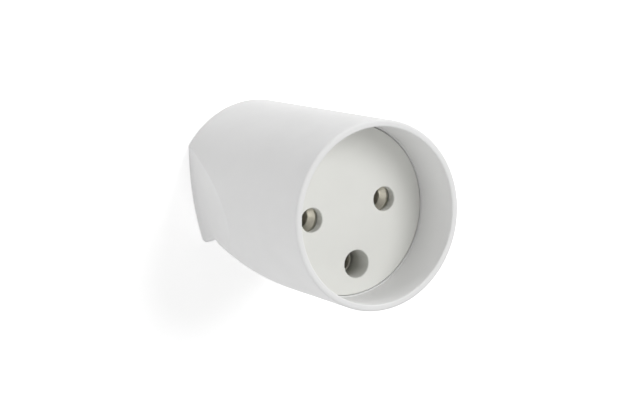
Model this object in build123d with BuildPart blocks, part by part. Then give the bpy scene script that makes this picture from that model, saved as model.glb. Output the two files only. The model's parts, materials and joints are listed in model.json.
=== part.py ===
from build123d import *
import math
import os

# In-line mains socket: a white housing with a deep round mouth and a three-hole contact carrier inside it.
# Millimetres. +Z points out of the mouth and +Y to the straight top line; the earth hole is towards -Y.
# The origin is on the socket's axis, in the plane of its flat rear end.

# Pin holes in the face
pin_spacing = 19.0
earth_drop = 12.4
pin_hole_radius = 2.7
earth_hole_radius = 3.1
pin_land = 2.0
earth_land = 4.2
hole_edge = 0.15
pin_depth = 19.5

# Contacts: a split sleeve with a screw terminal behind it
sleeve_bore_radius = 2.35
sleeve_wall = 0.7
sleeve_length = 11.3
sleeve_tip_gap = 2.0
earth_tip_gap = 3.0
flare_height = 1.6
pin_flare = 0.9
earth_flare = 0.3
flare_lip = 0.4
slot_width = 0.8
slot_floor = 3.0
block_size = 7.0
block_height = 9.6
block_edge = 0.8
earth_block_shift = 4.8
wire_hole_radius = 1.6
wire_hole_depth = 4.8

# Springs round the sleeves
spring_thickness = 0.5
spring_height = 3.6
spring_setback = 0.3
spring_gap = 1.6
spring_fit = 0.03

# Contact carrier
flange_thickness = 3.0
face_round = 0.25
chamber_gap = 0.3
barrel_wall = 0.95
rim_margin = 1.72
carrier_gap = 0.1
post_radius = 2.8
post_length = 16.5
post_margin = 0.35
post_spacing = 15.0
boss_radius = 2.6
boss_y = -0.5
tongue_width = 22.0
tongue_thickness = 1.8
tongue_rib_width = 1.6
tongue_rib_height = 2.4
tongue_gap = 1.4

# Retainer behind the terminals
retainer_thickness = 1.6
retainer_margin = 0.5

# Cord strap and inlet
cord_radius = 4.3
cord_hole_edge = 0.8
strap_width = 6.6
strap_wall = 1.6
strap_height = 5.3
strap_end_gap = 1.8
strap_screw_spacing = 16.4
strap_end = 2.8
wiring_gap = 2.2

# Housing
mouth_wall = 1.5
recess_depth = 12.1
seat_step = 0.25
rear_wall = 2.4
rim_round = 0.55
mouth_round = 0.35
rear_edge = 0.25
facet_length = 22.4
facet_angle = 11.4
facet_bow = 70.0
facet_middle = 1.8
underside_draft = 2.9
heel_round = 23.6
heel_power = 2.9
heel_end_angle = 80.0
heel_steps = 6
section_spacing = 5.0
tail_length = 8.2
tail_drop = 8.75
tail_slope = 15.0
tail_round = 1.2
rib_count = 5
rib_start_angle = 18.0
rib_depth = 1.6
rib_width = 1.4
screw_boss_radius = 3.9
screw_boss_web = 6.0

# Screws
screw_fit = 0.05
screw_clear = 0.2
head_chamfer = 0.4
driver_slot_width = 0.8
driver_slot_depth = 0.8
terminal_screw_radius = 1.4
terminal_head_radius = 2.2
terminal_head_height = 1.6
retainer_screw_radius = 1.25
retainer_screw_length = 9.0
retainer_head_radius = 2.3
retainer_head_height = 1.7
strap_screw_radius = 1.35
strap_head_radius = 2.5
strap_head_height = 1.6
housing_screw_radius = 1.5
housing_screw_grip = 10.0
housing_head_radius = 2.6
housing_head_height = 2.0
head_hole_gap = 0.3

# Levels along the axis, stacked from the rear end to the mouth
strap_base = rear_wall + strap_end_gap
strap_top = strap_base + strap_width
retainer_base = strap_top + wiring_gap
block_base = retainer_base + retainer_thickness
block_top = block_base + block_height
pin_sleeve_tip = block_top + sleeve_length
face_level = pin_sleeve_tip + sleeve_tip_gap + pin_land
flange_base = face_level - flange_thickness
mouth_level = face_level + recess_depth
post_base = flange_base - post_length
strap_middle = (strap_base + strap_top) / 2

# Radii, from the contacts outwards
sleeve_radius = sleeve_bore_radius + sleeve_wall
spring_bore = sleeve_radius + spring_fit
chamber_radius = spring_bore + spring_thickness + chamber_gap
barrel_radius = chamber_radius + barrel_wall
carrier_radius = earth_drop + barrel_radius + rim_margin
seat_radius = carrier_radius + carrier_gap
mouth_radius = seat_radius + seat_step
body_radius = mouth_radius + mouth_wall
wall = body_radius - seat_radius

# Heights across the axis, for the tongue, the cord and the strap
tongue_bottom = barrel_radius + tongue_gap
tongue_top = tongue_bottom + tongue_thickness
cord_y = tongue_bottom - cord_radius
strap_bottom = cord_y - cord_radius - strap_wall
strap_length = strap_screw_spacing + 2 * strap_end

# Centres of the two screws that hold the carrier in the housing
post_circle = carrier_radius - post_radius - post_margin
post_x = post_spacing / 2
post_y = math.sqrt(post_circle**2 - post_x**2)
post_centres = [(-post_x, post_y), (post_x, post_y)]

# Each contact: name, hole centre, block centre and screw direction
live_centre = (-pin_spacing / 2, 0)
neutral_centre = (pin_spacing / 2, 0)
earth_centre = (0, -earth_drop)
contacts = [
    ("live", live_centre, live_centre, (-1, 0, 0)),
    ("neutral", neutral_centre, neutral_centre, (1, 0, 0)),
    ("earth", earth_centre, (0, earth_block_shift - earth_drop), (0, -1, 0)),
]

# Each contact's hole radius, plastic in front of the chamber, level of the sleeve's tip and flare of the tip
earth_sleeve_tip = face_level - earth_land - earth_tip_gap
fronts = {
    "live": (pin_hole_radius, pin_land, pin_sleeve_tip, pin_flare),
    "neutral": (pin_hole_radius, pin_land, pin_sleeve_tip, pin_flare),
    "earth": (earth_hole_radius, earth_land, earth_sleeve_tip, earth_flare),
}

os.makedirs("parts", exist_ok=True)


def save(builder, name):
    builder.part.label = name
    export_step(builder.part, f"parts/{name}.step")


# The outer form of the housing, and the same form drawn in by one wall for its hollow
def flats_form(inset):
    """The space between the two flats, which are slightly bowed and close in to the rear."""
    slope = math.radians(facet_angle)
    rear_x = body_radius - math.tan(slope) * facet_length
    with BuildPart() as flats:
        for side, mode in ((-1, Mode.ADD), (1, Mode.INTERSECT)):
            middle = Vector(side * rear_x, facet_middle, 0)
            outward = Vector(side * math.cos(slope), 0, -math.sin(slope))
            along = (side * math.sin(slope), 0, math.cos(slope))
            with BuildSketch(Plane(middle - outward * facet_bow, z_dir=along)):
                Circle(facet_bow - inset)
            extrude(amount=2 * mouth_level, both=True, mode=mode)
    return flats.part


def underside(level):
    """Drop of the underside below the axis, before the heel is rounded."""
    return body_radius - math.tan(math.radians(underside_draft)) * (mouth_level - level)


def heel_sections(inset):
    """Levels and drops of the rounded heel, evenly spaced from where the underside starts to turn up."""
    length = heel_round - inset
    for k in range(heel_steps + 1):
        turn = math.radians(heel_end_angle) * (k / heel_steps) ** (heel_power / 2)
        level = tail_length + heel_round - length * math.sin(turn) ** (2 / heel_power)
        yield level, (underside(level) - inset) * math.cos(turn) ** (2 / heel_power)


def body_form(inset, base, top):
    """The body's form: round above, rounded heel below, bowed flats on both sides and a tail at the rear."""
    radius = body_radius - inset
    heel = list(heel_sections(inset))
    heel_start = heel[0][0]
    heel_end = heel[-1][0]
    straight_steps = max(1, round((top - heel_start) / section_spacing))
    levels = [top + (heel_start - top) * k / straight_steps for k in range(1, straight_steps)]
    sections = [(top, radius)] + [(level, underside(level) - inset) for level in levels] + heel
    tail_top = 2 * tail_length
    slope = math.radians(tail_slope)
    drops = [tail_drop - math.tan(slope) * level - inset / math.cos(slope) for level in (base, tail_top)]
    with BuildPart() as body:
        for level, drop in sections:
            with BuildSketch(Plane.XY.offset(level)):
                with BuildLine():
                    CenterArc((0, 0), radius, 0, 180)
                    EllipticalCenterArc((0, 0), radius, drop, start_angle=180, arc_size=180)
                make_face()
        loft()
        with BuildSketch(Plane.XY.offset(base)):
            with BuildLine():
                CenterArc((0, 0), radius, 0, 180)
                Line((-radius, 0), (radius, 0))
            make_face()
        extrude(amount=heel_end - base)
        with BuildSketch(Plane.YZ):
            with BuildLine():
                Polyline((0, base), (-drops[0], base), (-drops[1], tail_top), (0, tail_top), close=True)
            make_face()
        extrude(amount=body_radius, both=True)
        add(flats_form(inset), mode=Mode.INTERSECT)
        tail_face = body.faces().filter_by(GeomType.PLANE).sort_by(Axis.Y)[0]
        fillet(tail_face.edges().filter_by(GeomType.ELLIPSE), tail_round)
    return body.part


outer_form = body_form(0, 0, mouth_level)
inner_form = body_form(wall, rear_wall, flange_base)

# Hollow of the housing behind the carrier, with its ribs and screw bosses left standing
with BuildPart() as hollow:
    add(inner_form)
    with BuildSketch(Plane.XY):
        with PolarLocations(seat_radius, rib_count, start_angle=rib_start_angle):
            Rectangle(2 * rib_depth, rib_width)
    extrude(amount=flange_base, mode=Mode.SUBTRACT)
    with BuildSketch(Plane.XY):
        with Locations(*post_centres):
            Circle(screw_boss_radius)
    extrude(amount=post_base, mode=Mode.SUBTRACT)

with BuildPart() as housing:
    add(outer_form)
    fillet(housing.edges().group_by(Axis.Z)[-1], rim_round)
    fillet(housing.edges().group_by(Axis.Z)[0], rear_edge)
    with BuildSketch(Plane.XY.offset(face_level)):
        Circle(mouth_radius)
    extrude(amount=recess_depth, mode=Mode.SUBTRACT)
    fillet(housing.edges().filter_by(GeomType.CIRCLE).group_by(Axis.Z)[-1], mouth_round)
    with BuildSketch(Plane.XY.offset(flange_base)):
        Circle(seat_radius)
    extrude(amount=flange_thickness, mode=Mode.SUBTRACT)
    add(hollow.part, mode=Mode.SUBTRACT)
    # Deep recesses for the screw heads, and the screws' way through
    with BuildSketch(Plane.XY):
        with Locations(*post_centres):
            Circle(housing_head_radius + head_hole_gap)
    extrude(amount=post_base - screw_boss_web, mode=Mode.SUBTRACT)
    with BuildSketch(Plane.XY):
        with Locations(*post_centres):
            Circle(housing_screw_radius + screw_clear)
    extrude(amount=post_base, mode=Mode.SUBTRACT)
    # Cord inlet
    with BuildSketch(Plane.XY):
        with Locations((0, cord_y)):
            Circle(cord_radius)
    extrude(amount=rear_wall, mode=Mode.SUBTRACT)
    rear_edges = housing.edges().filter_by(GeomType.CIRCLE).group_by(Axis.Z)[0]
    fillet(rear_edges.sort_by_distance((0, cord_y, 0))[0], cord_hole_edge)
save(housing, "housing")

with BuildPart() as contact_carrier:
    with BuildSketch(Plane.XY.offset(flange_base)):
        Circle(carrier_radius)
    extrude(amount=flange_thickness)
    fillet(contact_carrier.edges().group_by(Axis.Z)[-1], face_round)
    with BuildSketch(Plane.XY.offset(block_top)):
        for name, centre, block, out in contacts:
            with Locations(centre):
                Circle(barrel_radius)
    extrude(amount=flange_base - block_top)
    with BuildSketch(Plane.XY.offset(post_base)):
        with Locations(*post_centres):
            Circle(post_radius)
    extrude(amount=post_length)
    with BuildSketch(Plane.XY.offset(block_base)):
        with Locations((0, boss_y)):
            Circle(boss_radius)
    extrude(amount=flange_base - block_base)
    # Tongue that carries the cord strap, stiffened by a rib along its back
    with BuildSketch(Plane.XY.offset(strap_base)):
        with Locations((0, tongue_bottom)):
            Rectangle(tongue_width, tongue_thickness, align=(Align.CENTER, Align.MIN))
            Rectangle(tongue_rib_width, tongue_thickness + tongue_rib_height, align=(Align.CENTER, Align.MIN))
    extrude(amount=flange_base - strap_base)
    # Pin holes, with the chambers behind them
    for name, centre, block, out in contacts:
        hole, land, tip, flare = fronts[name]
        with BuildSketch(Plane.XY.offset(block_top)):
            with Locations(centre):
                Circle(chamber_radius)
        extrude(amount=face_level - land - block_top, mode=Mode.SUBTRACT)
        with BuildSketch(Plane.XY.offset(face_level - land)):
            with Locations(centre):
                Circle(hole)
        extrude(amount=land, mode=Mode.SUBTRACT)
    face_edges = contact_carrier.edges().filter_by(GeomType.CIRCLE).group_by(Axis.Z)[-1]
    chamfer(face_edges.filter_by(lambda edge: edge.radius < chamber_radius), hole_edge)
    # Pilot holes
    with BuildSketch(Plane.XY.offset(post_base)):
        with Locations(*post_centres):
            Circle(housing_screw_radius + screw_fit)
    extrude(amount=housing_screw_grip + screw_clear, mode=Mode.SUBTRACT)
    with BuildSketch(Plane.XY.offset(block_base)):
        with Locations((0, boss_y)):
            Circle(retainer_screw_radius + screw_fit)
    extrude(amount=retainer_screw_length, mode=Mode.SUBTRACT)
    with BuildSketch(Plane.XZ):
        with Locations((-strap_screw_spacing / 2, strap_middle), (strap_screw_spacing / 2, strap_middle)):
            Circle(strap_screw_radius + screw_clear)
    extrude(amount=-body_radius, mode=Mode.SUBTRACT)
save(contact_carrier, "contact_carrier")


def make_contact(name, centre, block, out, tip, flare):
    """One brass piece: a flared sleeve split into two fingers, on a block with wire and screw holes."""
    bore_end = face_level - pin_depth
    flare_base = tip - flare_height
    flared_radius = sleeve_bore_radius + flare
    with BuildPart() as contact:
        with BuildSketch(Plane.XY.offset(block_base)):
            with Locations(block):
                RectangleRounded(block_size, block_size, block_edge)
        extrude(amount=block_height)
        with BuildSketch(Plane.XY.offset(block_top)):
            with Locations(centre):
                Circle(sleeve_radius)
        extrude(amount=flare_base - block_top)
        with BuildSketch(Plane.XY.offset(bore_end)):
            with Locations(centre):
                Circle(sleeve_bore_radius)
        extrude(amount=flare_base - bore_end, mode=Mode.SUBTRACT)
        with BuildSketch(Plane((*centre, 0), x_dir=(1, 0, 0), z_dir=(0, -1, 0))):
            with BuildLine():
                Polyline(
                    (sleeve_bore_radius, flare_base),
                    (flared_radius, tip),
                    (flared_radius + flare_lip, tip),
                    (sleeve_radius, flare_base),
                    close=True,
                )
            make_face()
        revolve(axis=Axis((*centre, 0), (0, 0, 1)))
        with BuildSketch(Plane.XY.offset(block_top + slot_floor)):
            with Locations(centre):
                Rectangle(slot_width, 2 * chamber_radius)
        extrude(amount=tip - block_top - slot_floor, mode=Mode.SUBTRACT)
        with BuildSketch(Plane.XY.offset(block_base)):
            with Locations(block):
                Circle(wire_hole_radius)
        extrude(amount=wire_hole_depth, mode=Mode.SUBTRACT)
        with BuildSketch(terminal_seat(block, out)):
            Circle(terminal_screw_radius + screw_fit)
        extrude(amount=-block_size / 2, mode=Mode.SUBTRACT)
    save(contact, f"{name}_contact")


def terminal_seat(block, out):
    """Plane of a terminal screw's head, on the side of its block, at the middle of the wire hole."""
    middle = Vector(block[0], block[1], block_base + wire_hole_depth / 2)
    return Plane(middle + Vector(*out) * (block_size / 2), x_dir=(0, 0, 1), z_dir=out)


def make_spring(name, centre, tip):
    """An open ring of spring steel round a sleeve's fingers, under the flare."""
    top = tip - flare_height - spring_setback
    with BuildPart() as spring:
        with BuildSketch(Plane.XY.offset(top - spring_height)):
            with Locations(centre):
                Circle(spring_bore + spring_thickness)
                Circle(spring_bore, mode=Mode.SUBTRACT)
                Rectangle(spring_gap, 2 * chamber_radius, align=(Align.CENTER, Align.MIN), mode=Mode.SUBTRACT)
        extrude(amount=spring_height)
    save(spring, f"{name}_spring")


def make_screw(name, seat, radius, length, head_radius, head_height):
    """A slotted screw: its head stands on the seat plane and its shank goes in against the plane's normal."""
    side = Plane(seat.origin, x_dir=seat.x_dir, z_dir=seat.y_dir)
    with BuildPart() as screw:
        with BuildSketch(side):
            with BuildLine():
                Polyline(
                    (0, -head_height),
                    (head_radius - head_chamfer, -head_height),
                    (head_radius, head_chamfer - head_height),
                    (head_radius, 0),
                    (radius, 0),
                    (radius, length),
                    (0, length),
                    close=True,
                )
            make_face()
        revolve(axis=Axis(seat.origin, seat.z_dir))
        with BuildSketch(seat.offset(head_height)):
            Rectangle(2 * head_radius, driver_slot_width)
        extrude(amount=-driver_slot_depth, mode=Mode.SUBTRACT)
    save(screw, name)


for name, centre, block, out in contacts:
    hole, land, tip, flare = fronts[name]
    make_contact(name, centre, block, out, tip, flare)
    make_spring(name, centre, tip)
    make_screw(
        f"{name}_terminal_screw",
        terminal_seat(block, out),
        terminal_screw_radius,
        block_size / 2,
        terminal_head_radius,
        terminal_head_height,
    )

with BuildPart() as contact_retainer:
    with BuildSketch(Plane.XY.offset(retainer_base)):
        for name, centre, block, out in contacts:
            with Locations(block):
                Circle(block_size / 2 + retainer_margin)
        make_hull()
        for name, centre, block, out in contacts:
            with Locations(block):
                Circle(wire_hole_radius + screw_clear, mode=Mode.SUBTRACT)
        with Locations((0, boss_y)):
            Circle(retainer_screw_radius + screw_clear, mode=Mode.SUBTRACT)
    extrude(amount=retainer_thickness)
save(contact_retainer, "contact_retainer")

make_screw(
    "retainer_screw",
    Plane((0, boss_y, retainer_base), z_dir=(0, 0, -1)),
    retainer_screw_radius,
    retainer_thickness + retainer_screw_length - screw_clear,
    retainer_head_radius,
    retainer_head_height,
)

with BuildPart() as cord_strap:
    with BuildSketch(Plane.XY.offset(strap_base)):
        with Locations((0, strap_bottom)):
            Rectangle(strap_length, strap_height, align=(Align.CENTER, Align.MIN))
        with Locations((0, cord_y)):
            Circle(cord_radius, mode=Mode.SUBTRACT)
    extrude(amount=strap_width)
    with BuildSketch(Plane.XZ.offset(-strap_bottom)):
        with Locations((-strap_screw_spacing / 2, strap_middle), (strap_screw_spacing / 2, strap_middle)):
            Circle(strap_screw_radius + screw_fit)
    extrude(amount=-strap_height, mode=Mode.SUBTRACT)
save(cord_strap, "cord_strap")

for side, x in (("left", -1), ("right", 1)):
    make_screw(
        f"{side}_strap_screw",
        Plane((x * strap_screw_spacing / 2, tongue_top, strap_middle), x_dir=(1, 0, 0), z_dir=(0, 1, 0)),
        strap_screw_radius,
        tongue_top - strap_bottom - screw_clear,
        strap_head_radius,
        strap_head_height,
    )
    make_screw(
        f"{side}_housing_screw",
        Plane((x * post_x, post_y, post_base - screw_boss_web), z_dir=(0, 0, -1)),
        housing_screw_radius,
        screw_boss_web + housing_screw_grip,
        housing_head_radius,
        housing_head_height,
    )
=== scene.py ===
import json
import math

import bpy
from mathutils import Euler, Matrix, Vector


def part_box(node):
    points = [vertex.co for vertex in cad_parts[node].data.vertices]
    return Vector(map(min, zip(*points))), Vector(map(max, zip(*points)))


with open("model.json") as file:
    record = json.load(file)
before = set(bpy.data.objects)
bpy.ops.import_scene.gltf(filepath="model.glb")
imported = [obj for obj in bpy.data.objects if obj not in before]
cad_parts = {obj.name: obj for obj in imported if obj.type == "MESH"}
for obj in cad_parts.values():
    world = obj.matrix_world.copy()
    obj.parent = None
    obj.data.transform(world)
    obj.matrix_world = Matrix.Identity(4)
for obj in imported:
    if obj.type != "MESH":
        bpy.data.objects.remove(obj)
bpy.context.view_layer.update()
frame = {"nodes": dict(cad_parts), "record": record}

white = (1, 1, 1, 1)
quarter_turn = math.pi / 2

# Camera, fitted to the ellipses of the mouth, the face and its holes in a 640 by 400 picture
picture_width = 640
focal_pixels = 3000
sensor_width = 36.0
view_azimuth = math.radians(-114.476)
view_elevation = math.radians(57.005)
view_roll = math.radians(101.998)
view_distance = 0.64446
aim_right = -0.012606
aim_up = 0.003454

# Soft lamps, all at one distance from the mouth: name, azimuth and elevation in degrees, size and power
lamp_distance = 1.0
lamps = [
    ("key_lamp", 39.0, 61.0, 0.60, 5.0),
    ("top_side_lamp", 46.0, 8.0, 0.30, 2.75),
    ("left_side_lamp", 183.0, 13.0, 0.40, 2.1),
    ("low_lamp", 265.0, 40.0, 0.40, 1.0),
]
ambient_strength = 0.37
background_white = 1.0

# Floor: how much it is whitened near the object and far from it, where it meets the white surroundings
floor_size = 6.0
floor_drop = 0.00005
floor_colour = (0.9, 0.9, 0.9, 1)
floor_roughness = 0.9
floor_near = 0.08
floor_far = 0.8
floor_near_lift = 0.45
floor_far_lift = 0.7

# Most of a noise lies between these two values
noise_low = 0.3
noise_high = 0.7

# Fine grain of every surface, in metres
grain_depth = 0.00001
grain_detail = 2

# Moulded plastic: clouding and patches of gloss in metres, and how far the roughness goes down and up
cloud_size = 0.009
cloud_detail = 3
gloss_size = 0.004
gloss_detail = 4
plastic_smoother = 0.05
plastic_rougher = 0.06
plastic_grain_size = 0.00022
plastic_grain_strength = 0.35
plastic_ior = 1.5
plastic_specular = 0.3
# Slot, darker and lighter colour, and roughness
plastics = [
    ("housing_plastic", (0.80, 0.80, 0.798), (0.82, 0.82, 0.818), 0.55),
    ("carrier_plastic", (0.795, 0.797, 0.762), (0.813, 0.815, 0.78), 0.55),
]

# Plated metal: stains and patches of polish in metres, and how far the roughness goes down and up
stain_size = 0.0015
stain_detail = 4
polish_size = 0.0008
polish_detail = 4
metal_smoother = 0.08
metal_rougher = 0.1
metal_grain_strength = 0.3
# Slot, darker and lighter colour, roughness, and size of the grain in metres
metals = [
    ("contact_metal", (0.86, 0.838, 0.765), (0.92, 0.90, 0.835), 0.44, 0.00012),
    ("spring_steel", (0.48, 0.49, 0.50), (0.58, 0.58, 0.60), 0.3, 0.00015),
    ("screw_steel", (0.62, 0.62, 0.63), (0.74, 0.74, 0.75), 0.32, 0.0001),
]


def new_material(name):
    """A material with its tree and the Principled shader in it."""
    material = bpy.data.materials.new(name)
    material.use_nodes = True
    tree = material.node_tree
    return material, tree, tree.nodes["Principled BSDF"]


def add_noise(tree, size, detail):
    """Noise whose grains are about the given size in metres, in the object's own coordinates."""
    place = tree.nodes.new("ShaderNodeTexCoord")
    noise = tree.nodes.new("ShaderNodeTexNoise")
    noise.inputs["Scale"].default_value = 1 / size
    noise.inputs["Detail"].default_value = detail
    tree.links.new(place.outputs["Object"], noise.inputs["Vector"])
    return noise.outputs["Fac"]


def add_range(tree, value, from_low, from_high, to_low, to_high):
    """The value, moved from the first range to the second."""
    spread = tree.nodes.new("ShaderNodeMapRange")
    spread.inputs["From Min"].default_value = from_low
    spread.inputs["From Max"].default_value = from_high
    spread.inputs["To Min"].default_value = to_low
    spread.inputs["To Max"].default_value = to_high
    tree.links.new(value, spread.inputs["Value"])
    return spread.outputs["Result"]


def add_math(tree, operation, first, second):
    """The two values put together by the operation."""
    node = tree.nodes.new("ShaderNodeMath")
    node.operation = operation
    tree.links.new(first, node.inputs[0])
    tree.links.new(second, node.inputs[1])
    return node.outputs[0]


def set_colours(tree, shader, noise, dark, light):
    """Base colour between the two, by the noise."""
    ramp = tree.nodes.new("ShaderNodeValToRGB")
    ramp.color_ramp.elements[0].position = noise_low
    ramp.color_ramp.elements[0].color = (*dark, 1)
    ramp.color_ramp.elements[1].position = noise_high
    ramp.color_ramp.elements[1].color = (*light, 1)
    tree.links.new(noise, ramp.inputs["Fac"])
    tree.links.new(ramp.outputs["Color"], shader.inputs["Base Color"])


def set_roughness(tree, shader, noise, low, high):
    """Roughness from low to high, by the noise."""
    roughness = add_range(tree, noise, noise_low, noise_high, low, high)
    tree.links.new(roughness, shader.inputs["Roughness"])


def set_grain(tree, shader, size, strength):
    """Fine bumps of the given size in metres."""
    bump = tree.nodes.new("ShaderNodeBump")
    bump.inputs["Distance"].default_value = grain_depth
    bump.inputs["Strength"].default_value = strength
    tree.links.new(add_noise(tree, size, grain_detail), bump.inputs["Height"])
    tree.links.new(bump.outputs["Normal"], shader.inputs["Normal"])


def moulded_plastic(slot, dark, light, roughness):
    """White moulded plastic: faint clouding, uneven gloss and a fine spark-eroded grain."""
    material, tree, shader = new_material(f"{slot}_look")
    set_colours(tree, shader, add_noise(tree, cloud_size, cloud_detail), dark, light)
    gloss = add_noise(tree, gloss_size, gloss_detail)
    set_roughness(tree, shader, gloss, roughness - plastic_smoother, roughness + plastic_rougher)
    set_grain(tree, shader, plastic_grain_size, plastic_grain_strength)
    shader.inputs["IOR"].default_value = plastic_ior
    shader.inputs["Specular IOR Level"].default_value = plastic_specular
    return material


def plated_metal(slot, dark, light, roughness, grain_size):
    """Plated metal with stains, uneven polish and a fine grain."""
    material, tree, shader = new_material(f"{slot}_look")
    set_colours(tree, shader, add_noise(tree, stain_size, stain_detail), dark, light)
    polish = add_noise(tree, polish_size, polish_detail)
    set_roughness(tree, shader, polish, roughness - metal_smoother, roughness + metal_rougher)
    set_grain(tree, shader, grain_size, metal_grain_strength)
    shader.inputs["Metallic"].default_value = 1.0
    return material


def seen_directly(tree):
    """1 for rays that show the background: straight from the camera, off metal or through glass."""
    rays = tree.nodes.new("ShaderNodeLightPath")
    seen = rays.outputs["Is Camera Ray"]
    for kind in ("Is Glossy Ray", "Is Transmission Ray"):
        seen = add_math(tree, "MAXIMUM", seen, rays.outputs[kind])
    return seen


# Materials of the pieces
materials = {}
for slot, *finish in plastics:
    materials[slot] = moulded_plastic(slot, *finish)
for slot, *finish in metals:
    materials[slot] = plated_metal(slot, *finish)
for part in frame["record"]["subparts"]:
    node = frame["nodes"][part["node"]]
    node.data.materials.clear()
    node.data.materials.append(materials[part["material_slot"]])

# Camera
mouth_centre = Vector((0, 0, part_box("housing")[1][2]))
turn = (
    Matrix.Rotation(view_azimuth, 3, "Z")
    @ Matrix.Rotation(quarter_turn - view_elevation, 3, "X")
    @ Matrix.Rotation(view_roll, 3, "Z")
)
camera_place = mouth_centre + turn @ Vector((aim_right, aim_up, view_distance))
camera_data = bpy.data.cameras.new("camera")
camera_data.sensor_width = sensor_width
camera_data.lens = focal_pixels / picture_width * sensor_width
camera = bpy.data.objects.new("camera", camera_data)
camera.matrix_world = Matrix.Translation(camera_place) @ turn.to_4x4()
bpy.context.scene.collection.objects.link(camera)
bpy.context.scene.camera = camera

# Lamps
for name, azimuth, elevation, size, power in lamps:
    lamp_data = bpy.data.lights.new(name, "AREA")
    lamp_data.shape = "DISK"
    lamp_data.size = size
    lamp_data.energy = power
    lamp = bpy.data.objects.new(name, lamp_data)
    aim = Euler((quarter_turn - math.radians(elevation), 0, quarter_turn + math.radians(azimuth)))
    lamp.rotation_euler = aim
    lamp.location = mouth_centre + aim.to_matrix() @ Vector((0, 0, lamp_distance))
    bpy.context.scene.collection.objects.link(lamp)

# Even white surroundings
world = bpy.data.worlds.new("surroundings")
bpy.context.scene.world = world
world.use_nodes = True
world_tree = world.node_tree
background = world_tree.nodes["Background"]
background.inputs["Color"].default_value = white
world_level = add_range(world_tree, seen_directly(world_tree), 0, 1, ambient_strength, background_white)
world_tree.links.new(world_level, background.inputs["Strength"])

# White floor that keeps the object's shadow
half = floor_size / 2
corners = [(-half, -half, 0), (half, -half, 0), (half, half, 0), (-half, half, 0)]
floor_mesh = bpy.data.meshes.new("floor")
floor_mesh.from_pydata(corners, [], [(0, 1, 2, 3)])
floor = bpy.data.objects.new("floor", floor_mesh)
floor.location.z = -floor_drop
bpy.context.scene.collection.objects.link(floor)
floor_material, floor_tree, floor_shader = new_material("floor_white")
floor_shader.inputs["Base Color"].default_value = floor_colour
floor_shader.inputs["Roughness"].default_value = floor_roughness
floor_shader.inputs["Specular IOR Level"].default_value = 0.0
floor_shader.inputs["Emission Color"].default_value = white
floor_place = floor_tree.nodes.new("ShaderNodeTexCoord")
reach = floor_tree.nodes.new("ShaderNodeVectorMath")
reach.operation = "LENGTH"
floor_tree.links.new(floor_place.outputs["Object"], reach.inputs[0])
lift = add_range(floor_tree, reach.outputs["Value"], floor_near, floor_far, floor_near_lift, floor_far_lift)
seen_lift = add_math(floor_tree, "MULTIPLY", seen_directly(floor_tree), lift)
floor_tree.links.new(seen_lift, floor_shader.inputs["Emission Strength"])
floor_mesh.materials.append(floor_material)

bpy.context.scene.view_settings.view_transform = "Standard"
